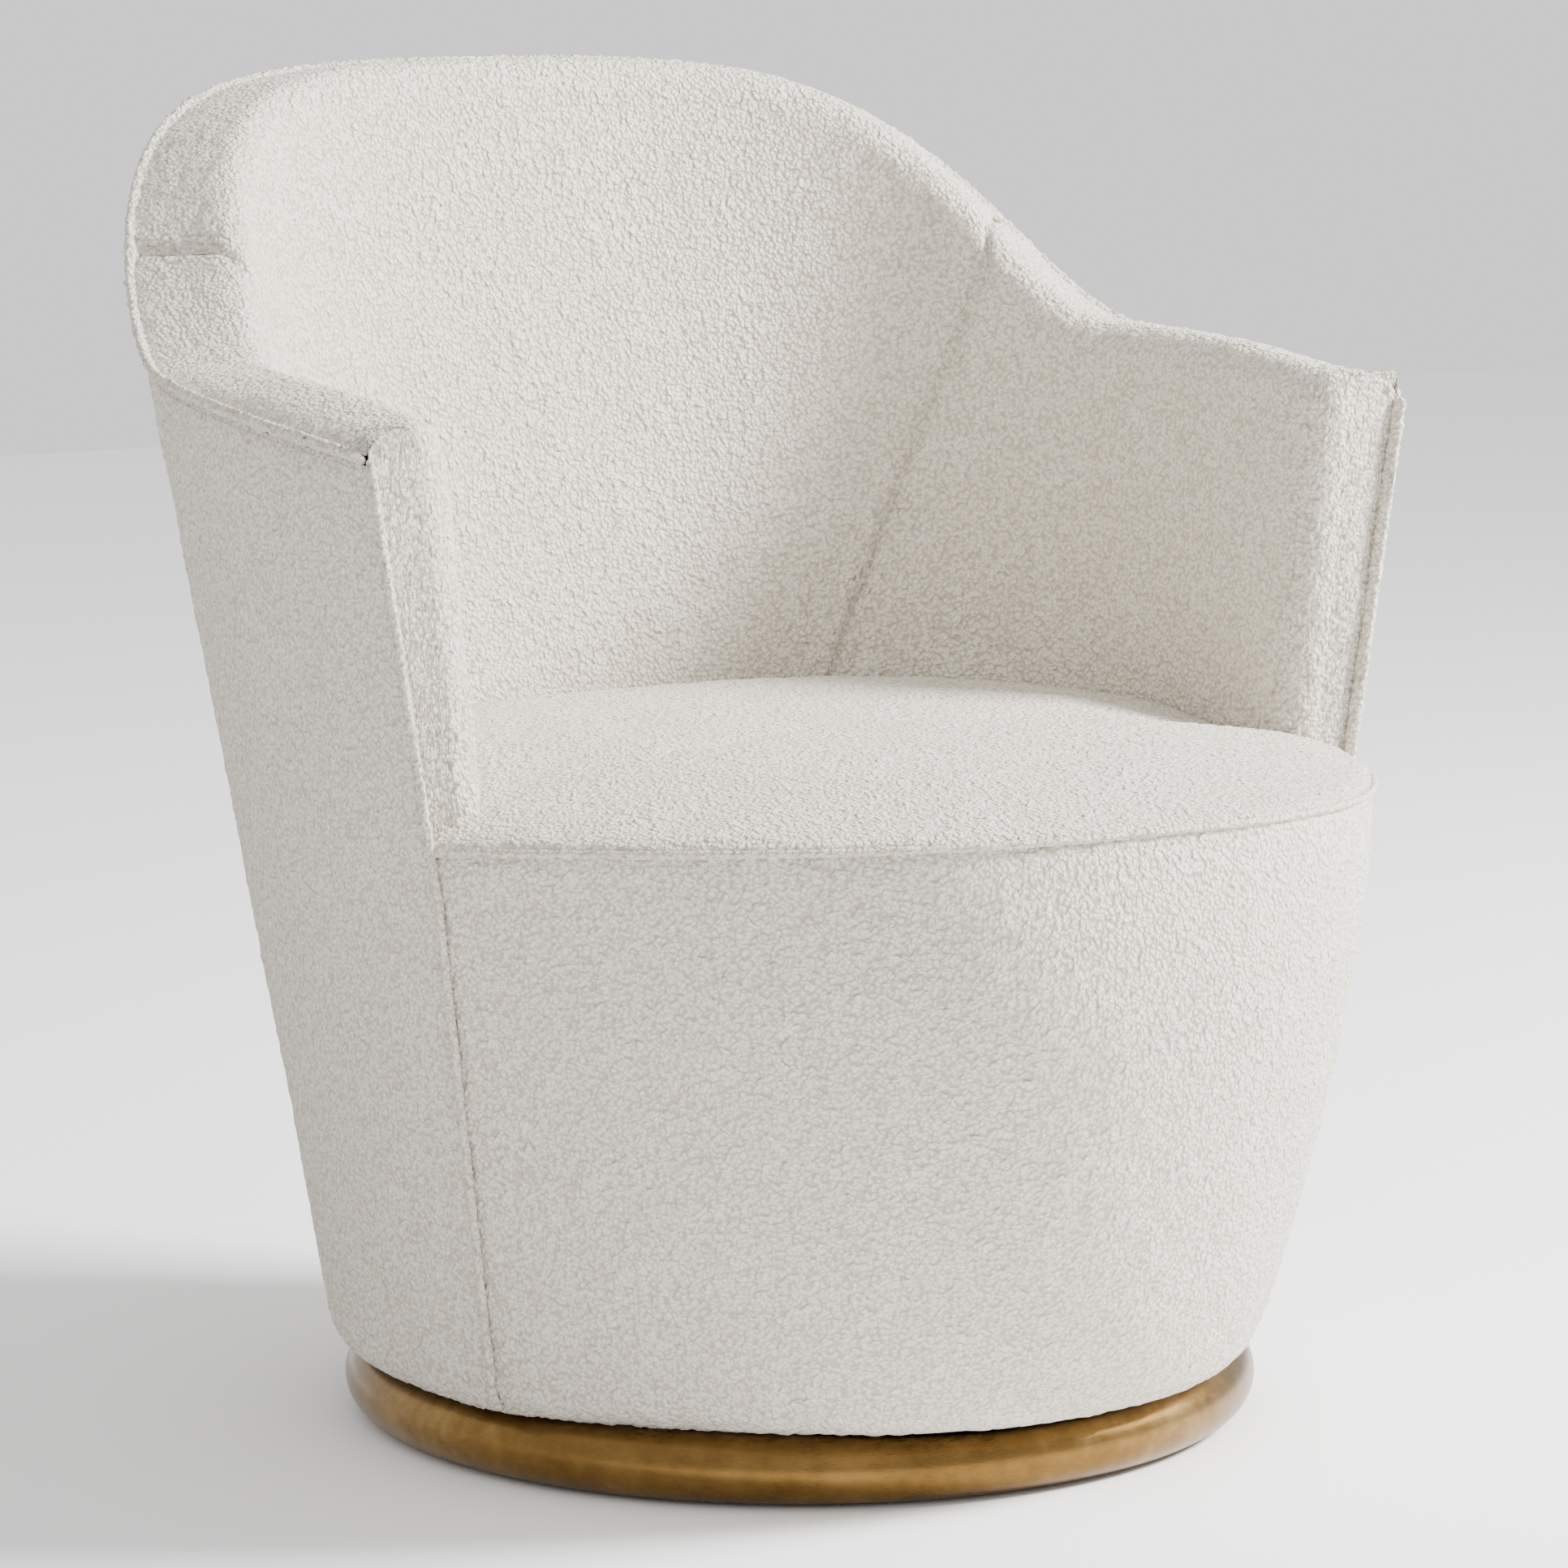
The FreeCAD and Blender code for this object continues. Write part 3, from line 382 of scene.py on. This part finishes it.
def lining_grid(first, last, columns, rows, sign):
    """A grid of the lining between two places, from below the seat to the welt."""
    place = first + (last - first) * np.linspace(0, 1, columns)
    near_seam = np.linspace(-0.014, 0.014, 17) + back_seam_place
    place = np.unique(np.clip(np.concatenate([place, near_seam]), first, last))
    columns = len(place)
    guess = np.full(columns, 640.0)
    for _ in range(12):
        _, run = inside_path(guess, place)
        guess = rim(run) - 20
    _, run_top = inside_path(guess, place)
    rim_run = np.where(place <= 1, run_top, 1 - (1 - run_top) * np.clip((1.3 - place) / 0.3, 0, 1))
    welt_level = rim(rim_run)
    welt = wall(welt_level, rim_run, -0.5)
    start = welt_level + roll_peak(rim_run) - roll_inner
    lower = np.linspace(0, 1, rows)
    grid = []
    for share in lower:
        level = lining_foot + (start - lining_foot) * share
        grid.append(inside_path(level, place)[0])
    base = grid[-1]
    for share in np.linspace(0, 1, 26)[1:]:
        across = share ** 1.35
        point = base + (welt - base) * across
        crest = welt_level + roll_peak(rim_run)
        turn = min(across / crest_share, 1.0)
        fall = max(across - crest_share, 0.0) / fall_share
        point[:, 2] = base[:, 2] + (crest - base[:, 2]) * (1 - (1 - turn) ** 2.2) ** 0.6
        point[:, 2] += (welt[:, 2] - crest) * (0.72 * fall ** 1.6 + 0.28 * fall ** 6)
        grid.append(point)
    grid = np.stack(grid)
    grid[..., 0] *= sign
    return grid, place


def seam_groove(grid, place, at, width, depth, outward):
    """Sink the cloth along a seam."""
    sink = depth * np.exp(-((place - at) / width) ** 2)
    return grid - outward * sink[None, :, None]


def lining_piece(name, first, last, columns, sign_pairs, seams, nodes):
    grids = []
    for sign in sign_pairs:
        grid, place = lining_grid(first, last, columns, 88, sign)
        toward_sitter = np.array([0.0, -60.0, 620.0]) - grid
        toward_sitter[-24:, :, 2] += 4000
        grid, n = nubby(grid, toward_sitter)
        for at, width, depth in seams:
            grid = seam_groove(grid, place, at, width, depth, n)
        grids.append(grid if sign > 0 else grid[:, ::-1])
    piece = dress(grid_piece(name, grids), boucle, *nodes)


back_seam = (back_seam_place, 0.0065, 4.5)
lining_piece("inside_back", 0.0, back_seam_place, 60, (1, -1), [back_seam], ["inside_back_cover",
        "back_foam",
                                                                       "back_roll_foam"])
for side, sign in (("left", -1), ("right", 1)):
    lining_piece("inside_arm_" + side, back_seam_place, 2.0, 200, (sign,), [back_seam],
                 ["inside_arm_cover_" + side, "arm_foam_" + side, "arm_roll_foam_" + side,
                  "arm_front_cover_" + side])

# ---------------------------------------------------------------- seat
# The tight seat: a foam dome under boucle, gripped by the arms and back and sewn to the front cover along
# a raised lip. Its cover is blown out over the foam by a short cloth simulation.
crown, sewn_width, most_blown = 443.0, 7.0, 0.004


def seat_outline(level):
    """Edge of the seat in plan: round the inside of the arms and back, then out and round the front."""
    inside = inner(np.full(150, level), np.linspace(1, -1, 150), -0.5)
    belly_edge = front(np.full(190, level), np.linspace(-0.985, 0.985, 190), -1.0)
    steps = np.linspace(0, 1, 14)[1:-1, None]
    out_left = inside[-1] + (belly_edge[0] - inside[-1]) * steps
    in_right = belly_edge[-1] + (inside[0] - belly_edge[-1]) * steps
    return np.concatenate([inside, out_left, belly_edge, in_right])


edge = seat_outline(425.0)
ahead = np.clip((edge[:, 1] + arm_front) / 150.0, 0, 1)
ahead = ahead * ahead * (3 - 2 * ahead)
low = seat_seam(edge[:, 0]) + 3.0
low = low + (428.0 - low) * ahead
middle = np.array([0.0, -60.0, 0.0])
rings = []
for share in 1 - np.linspace(0, 1, 96) ** 1.25:
    ring = middle + (edge - middle) * share
    fall = (1 - share ** 2.4) ** 0.60
    ring[:, 2] = low + (crown - low) * fall
    rings.append(ring)
seat_grid = np.stack(rings)
skirt = seat_grid[:1].copy()
skirt[..., 2] = low - 5 - 18 * ahead
seat_grid = np.concatenate([skirt, seat_grid])
seat_grid = np.concatenate([seat_grid, seat_grid[:, :1]], axis=1)
rough_grid, _ = nubby(seat_grid, np.zeros_like(seat_grid) + np.array([0, 0, 1.0]))
spread = np.linalg.norm(seat_grid[..., :2] - middle[:2], axis=-1, keepdims=True)
seat_grid = seat_grid + (rough_grid - seat_grid) * np.clip(spread / 180.0, 0, 1)
seat_grid[:, -1] = seat_grid[:, 0]


def stuffed(piece, sewn, reach):
    """Blow the cover out over its foam: sewn points stay, the others move at most reach metres."""
    scene, mesh = bpy.context.scene, piece.data
    group = piece.vertex_groups.new(name="sewn edge")
    group.add([int(i) for i in np.flatnonzero(sewn)], 1.0, "REPLACE")
    before = np.empty(len(mesh.vertices) * 3)
    mesh.vertices.foreach_get("co", before)
    before = before.reshape(-1, 3)
    cloth = piece.modifiers.new("stuffing", "CLOTH")
    settings = cloth.settings
    settings.quality, settings.mass = 5, 0.4
    settings.tension_stiffness = settings.compression_stiffness = 20.0
    settings.bending_stiffness = 2.0
    settings.use_pressure, settings.uniform_pressure_force = True, 4.0
    settings.vertex_group_mass = group.name
    settings.effector_weights.gravity = 0.0
    cloth.point_cache.frame_start, cloth.point_cache.frame_end = 1, 20
    for step in range(1, 21):
        scene.frame_set(step)
    blown = piece.evaluated_get(bpy.context.evaluated_depsgraph_get()).to_mesh()
    after = np.empty(len(blown.vertices) * 3)
    blown.vertices.foreach_get("co", after)
    moved = after.reshape(-1, 3) - before
    far = np.linalg.norm(moved, axis=1, keepdims=True)
    moved = np.nan_to_num(moved * np.minimum(1.0, reach / np.maximum(far, 1e-9)))
    piece.modifiers.remove(cloth)
    piece.vertex_groups.remove(group)
    mesh.vertices.foreach_set("co", (before + moved).ravel())
    mesh.update()
    scene.frame_set(1)


seat = grid_piece("seat_pad", [seat_grid])
places = np.empty(len(seat.data.vertices) * 3)
seat.data.vertices.foreach_get("co", places)
places = places.reshape(-1, 3) / MM
sewn_rows = np.concatenate([seat_grid[0], seat_grid[1], seat_grid[3]])
nearest = np.min([np.linalg.norm(places[:, :2] - point[:2], axis=1) for point in sewn_rows[::2]], axis=0)
stuffed(seat, nearest < sewn_width, most_blown)
dress(seat, boucle, "seat_cover", "seat_foam")

# ---------------------------------------------------------------- welts
# Self welts: a folded strip of the same boucle, sewn flat into the seam with a row of stitches beside it.
def welt(name, path, outward, width, thick, nodes):
    """A soft flat flange swept along a path of points; outward is its standing direction."""
    tangent = np.gradient(path, axis=0)
    tangent /= np.linalg.norm(tangent, axis=1, keepdims=True)
    outward = outward / np.linalg.norm(outward, axis=1, keepdims=True)
    side = np.cross(tangent, outward)
    draw = np.random.default_rng(5)
    run = np.concatenate([[0], np.cumsum(np.linalg.norm(np.diff(path, axis=0), axis=1))])
    end = np.clip(np.minimum(run, run[-1] - run) / (width * 0.6), 0, 1)
    taper = np.sqrt(1 - (1 - end) ** 2)
    rows = []
    sections = 14
    for i in range(sections + 1):
        a = 2 * math.pi * i / sections
        c, s = math.cos(a), math.sin(a)
        flat = abs(c) ** 0.7 * math.copysign(1, c), abs(s) ** 0.7 * math.copysign(1, s)
        rough = taper * (1 + 0.12 * draw.normal(size=len(path)) if 0 < i < sections else np.ones(len(path)))
        rows.append(path + outward * (flat[0] * width / 2 * rough)[:, None]
                    + side * (flat[1] * thick / 2 * rough)[:, None])
    piece = grid_piece(name, [np.stack(rows)])
    return dress(piece, boucle, *nodes)


rim_run = np.linspace(-0.998, 0.998, 900)
rim_line = wall(rim(rim_run) - 1.5, rim_run, 1.5)
rim_out = wall(rim(rim_run), rim_run, 10.0) - wall(rim(rim_run), rim_run) + np.array([0, 0, 9.0])
welt("rim_flange", rim_line, rim_out, 11.0, 5.5, ["rim_welt"])

for side, sign in (("left", -1), ("right", 1)):
    level = np.linspace(hem_height + 4, arm_height - 1, 320)
    line = wall(level, np.full_like(level, 1.0), 0.5 - 12 * np.clip(1 - (level - hem_height) / 16, 0,
            1) ** 2.2)
    line[:, 1] -= 3.5
    line[:, 0] -= 1.0
    line[:, 0] *= sign
    out = np.tile([0.45 * sign, -1.0, 0.0], (len(level), 1))
    welt("front_flange_" + side, line, out, 9.0, 5.0, ["front_welt_" + side])

lip_run = np.linspace(-0.975, 0.975, 420)
lip_x = front(np.full_like(lip_run, 400.0), lip_run)[:, 0]
lip_line = front(seat_seam(lip_x) + 0.8, lip_run, 0.2)
lip_out = front(seat_seam(lip_x), lip_run, 10.0) - front(seat_seam(lip_x), lip_run) + np.array([0, 0, 7.0])
welt("seat_lip", lip_line, lip_out, 6.0, 4.0, ["seat_front_lip"])

# ---------------------------------------------------------------- seam stitches
# Short lock stitches in a waxed linen thread run beside every welt and along the seat's front lip.
thread, tree, shader = new_material("linen thread")
where = node(tree, "ShaderNodeTexCoord", {}, (), "Object")
twist = node(tree, "ShaderNodeTexNoise", {}, {"Vector": where, "Scale": 1800.0, "Detail": 2.0}, "Fac")
thread_shade = mix_colour(tree, twist, (0.40, 0.36, 0.30, 1), (0.60, 0.56, 0.48, 1))
tree.links.new(thread_shade.link, shader.inputs["Base Color"])
shader.inputs["Roughness"].default_value = 0.8


def stitch_tree(pitch, length, gauge):
    """Geometry nodes: a stitch every pitch along the seam line, each a little uneven."""
    tree = bpy.data.node_groups.new("stitch row", "GeometryNodeTree")
    face = tree.interface
    face.new_socket("Seam", in_out="INPUT", socket_type="NodeSocketGeometry")
    sizes = {}
    for name, value in (("Pitch", pitch), ("Length", length), ("Gauge", gauge)):
        sizes[name] = face.new_socket(name, in_out="INPUT", socket_type="NodeSocketFloat")
        sizes[name].default_value = value
    face.new_socket("Stitches", in_out="OUTPUT", socket_type="NodeSocketGeometry")
    given = tree.nodes.new("NodeGroupInput")
    seam, pitch_in, length_in, gauge_in = (Socket(tree, given.outputs[i]) for i in range(4))
    line = node(tree, "GeometryNodeMeshToCurve", {}, {"Mesh": seam})
    places = tree.nodes.new("GeometryNodeCurveToPoints")
    places.mode = "LENGTH"
    tree.links.new(line.link, places.inputs["Curve"])
    tree.links.new(pitch_in.link, places.inputs["Length"])
    bead = node(tree, "GeometryNodeMeshUVSphere", {}, {"Segments": 6, "Rings": 5, "Radius": 0.5})
    uneven = node(tree, "FunctionNodeRandomValue", {"data_type": "FLOAT"}, {2: 0.8, 3: 1.15, "Seed": 7}, 1)
    shape = node(tree, "ShaderNodeCombineXYZ", {}, (gauge_in, gauge_in, length_in * uneven))
    row = node(tree, "GeometryNodeInstanceOnPoints", {},
               {"Points": Socket(tree, places.outputs["Points"]), "Instance": bead,
                "Rotation": Socket(tree, places.outputs["Rotation"]), "Scale": shape})
    solid = node(tree, "GeometryNodeRealizeInstances", {}, {"Geometry": row})
    coloured = node(tree, "GeometryNodeSetMaterial", {}, {"Geometry": solid, "Material": thread})
    out = tree.nodes.new("NodeGroupOutput")
    tree.links.new(coloured.link, out.inputs[0])
    return tree, sizes


def stitched(name, lines, pitch, length, gauge):
    """A piece of stitches along seam lines given in millimetres."""
    verts, edges = [], []
    for line in lines:
        start = len(verts)
        verts += [tuple(point * MM) for point in line]
        edges += [(start + i, start + i + 1) for i in range(len(line) - 1)]
    mesh = bpy.data.meshes.new(name + " line")
    mesh.from_pydata(verts, edges, [])
    line_piece = bpy.data.objects.new(name + " line", mesh)
    bpy.context.scene.collection.objects.link(line_piece)
    tree, sizes = stitch_tree(pitch, length, gauge)
    maker = line_piece.modifiers.new("stitches", "NODES")
    maker.node_group = tree
    for size_name, value in (("Pitch", pitch), ("Length", length), ("Gauge", gauge)):
        maker[sizes[size_name].identifier] = value
    made = bpy.data.meshes.new_from_object(line_piece.evaluated_get(bpy.context.evaluated_depsgraph_get()))
    bpy.data.objects.remove(line_piece)
    piece = bpy.data.objects.new(name, made)
    bpy.context.scene.collection.objects.link(piece)
    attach(piece, "chair")


seam_lines = []
rim_below = rim(rim_run) - 10.0
seam_lines.append(wall(rim_below, rim_run, 0.2)[8:-8])
for sign in (-1, 1):
    level = np.linspace(hem_height + 18, 398, 180)
    seam_lines.append(front(level, np.full_like(level, sign * 0.966), 0.2))
    level = np.linspace(418, 622, 110)
    beside = wall(level, np.full_like(level, 1.0))
    beside[:, 0] = (beside[:, 0] - 8.0) * sign
    beside[:, 1] = -arm_front - 0.4
    seam_lines.append(beside)
seam_lines.append(front(seat_seam(lip_x) - 6.0, lip_run, -0.6)[6:-6])
stitched("seam_stitches", seam_lines, 6.0 * MM, 3.6 * MM, 1.1 * MM)

# ---------------------------------------------------------------- plinth band
# A bullnose band of sheet brass, satin finished and darkened by an antique wash that has rubbed thin.
brass, tree, shader = new_material("antique brass")
where = node(tree, "ShaderNodeTexCoord", {}, (), "Object")
cloud = node(tree, "ShaderNodeTexNoise", {}, {"Vector": where, "Scale": 9.0, "Detail": 5.0}, "Fac")
stretch = node(tree, "ShaderNodeVectorMath", {"operation": "MULTIPLY"}, (where, (1.0, 1.0, 9.0)))
brushing = node(tree, "ShaderNodeTexNoise", {}, {"Vector": stretch, "Scale": 150.0, "Detail": 4.0}, "Fac")
specks = node(tree, "ShaderNodeTexNoise", {}, {"Vector": where, "Scale": 75.0, "Detail": 6.0}, "Fac")
wash = node(tree, "ShaderNodeValToRGB", {"ramp": [(0.25, (0.075, 0.038, 0.010, 1)), (0.55, (0.19, 0.108,
        0.032, 1)),
                                                  (0.8, (0.36, 0.235, 0.09, 1))]},
            (cloud * 0.6 + specks * 0.3 + brushing * 0.15,))
tree.links.new(wash.link, shader.inputs["Base Color"])
rough = cloud * 0.16 + brushing * 0.12 + 0.16
tree.links.new(rough.link, shader.inputs["Roughness"])
shader.inputs["Metallic"].default_value = 1.0
dents = node(tree, "ShaderNodeBump", {}, {"Strength": 0.12, "Distance": 0.0006,
        "Height": brushing + specks * 0.6})
tree.links.new(dents.link, shader.inputs["Normal"])


def plain_finish(name, light, dark, scale, roughness, metallic=0.0, stretch=(1, 1, 1), relief=0.2):
    """A working finish for the pieces inside: two shades, a fine relief and a stated roughness."""
    material, tree, shader = new_material(name)
    where = node(tree, "ShaderNodeTexCoord", {}, (), "Object")
    drawn = node(tree, "ShaderNodeVectorMath", {"operation": "MULTIPLY"}, (where, stretch))
    grain = node(tree, "ShaderNodeTexNoise", {}, {"Vector": drawn, "Scale": scale, "Detail": 5.0}, "Fac")
    shade = mix_colour(tree, grain, dark, light)
    tree.links.new(shade.link, shader.inputs["Base Color"])
    relief_node = node(tree, "ShaderNodeBump", {}, {"Strength": relief, "Distance": 0.0008,
            "Height": grain})
    tree.links.new(relief_node.link, shader.inputs["Normal"])
    shader.inputs["Roughness"].default_value = roughness
    shader.inputs["Metallic"].default_value = metallic
    return material


# ---------------------------------------------------------------- frame, swivel and springing
# Sawn birch ply frame, zinc plated swivel and fasteners, dark drawn spring wire, felt, webbing and cambric.
finishes = {
    "antique_brass": brass,
    "birch_ply": plain_finish("birch ply", (0.74, 0.58, 0.38, 1), (0.58, 0.42, 0.25, 1), 40, 0.6,
            stretch=(1, 1, 14)),
    "zinc_steel": plain_finish("zinc plate", (0.66, 0.67, 0.68, 1), (0.50, 0.51, 0.53, 1), 90, 0.35, 1.0),
    "spring_steel": plain_finish("drawn wire", (0.34, 0.34, 0.35, 1), (0.20, 0.20, 0.21, 1), 200, 0.4, 1.0),
    "foam": plain_finish("foam", (0.90, 0.86, 0.68, 1), (0.80, 0.74, 0.54, 1), 500, 0.95, relief=0.6),
    "felt": plain_finish("pressed felt", (0.34, 0.32, 0.30, 1), (0.20, 0.19, 0.18, 1), 700, 1.0,
            relief=0.6),
    "webbing": plain_finish("elastic webbing", (0.30, 0.29, 0.27, 1), (0.15, 0.14, 0.13, 1), 600, 0.9,
                            stretch=(1, 1, 6), relief=0.6),
    "black_cambric": plain_finish("black cambric", (0.045, 0.045, 0.045, 1), (0.02, 0.02, 0.02, 1), 900,
            0.9),
    "boucle": boucle,
}
slots = {part["node"]: part["material_slot"] for part in frame["record"]["subparts"]}
for name, cad_piece in frame["nodes"].items():
    for i in range(max(len(cad_piece.material_slots), 1)):
        if not cad_piece.material_slots:
            cad_piece.data.materials.append(None)
        cad_piece.material_slots[i].material = finishes[slots[name]]

# ---------------------------------------------------------------- studio
# Pale floor, one broad key from the upper right, a weaker fill from the left and a soft bright surround.
floor_mesh = bpy.data.meshes.new("floor")
floor_mesh.from_pydata([(-6, -6, 0), (6, -6, 0), (6, 6, 0), (-6, 6, 0)], [], [(0, 1, 2, 3)])
floor = bpy.data.objects.new("floor", floor_mesh)
bpy.context.scene.collection.objects.link(floor)
floor_paint, tree, shader = new_material("floor paint")
shader.inputs["Base Color"].default_value = (0.95, 0.95, 0.95, 1)
shader.inputs["Roughness"].default_value = 0.9
floor_mesh.materials.append(floor_paint)

world = bpy.data.worlds.new("surround")
bpy.context.scene.world = world
world.use_nodes = True
world.node_tree.nodes["Background"].inputs["Color"].default_value = (1, 1, 1, 1)
world.node_tree.nodes["Background"].inputs["Strength"].default_value = 1.12


def softbox(name, place, aim, size, watts):
    data = bpy.data.lights.new(name, "AREA")
    data.energy, data.size = watts, size
    lamp = bpy.data.objects.new(name, data)
    bpy.context.scene.collection.objects.link(lamp)
    lamp.location = place
    direction = Vector([a - b for a, b in zip(aim, place)])
    lamp.rotation_mode = "QUATERNION"
    lamp.rotation_quaternion = direction.to_track_quat("-Z", "Y")


softbox("key", (2.9, -1.9, 2.7), (0, 0, 0.4), 1.1, 680)
softbox("fill", (-1.2, -3.2, 2.0), (0, 0, 0.4), 2.2, 8)
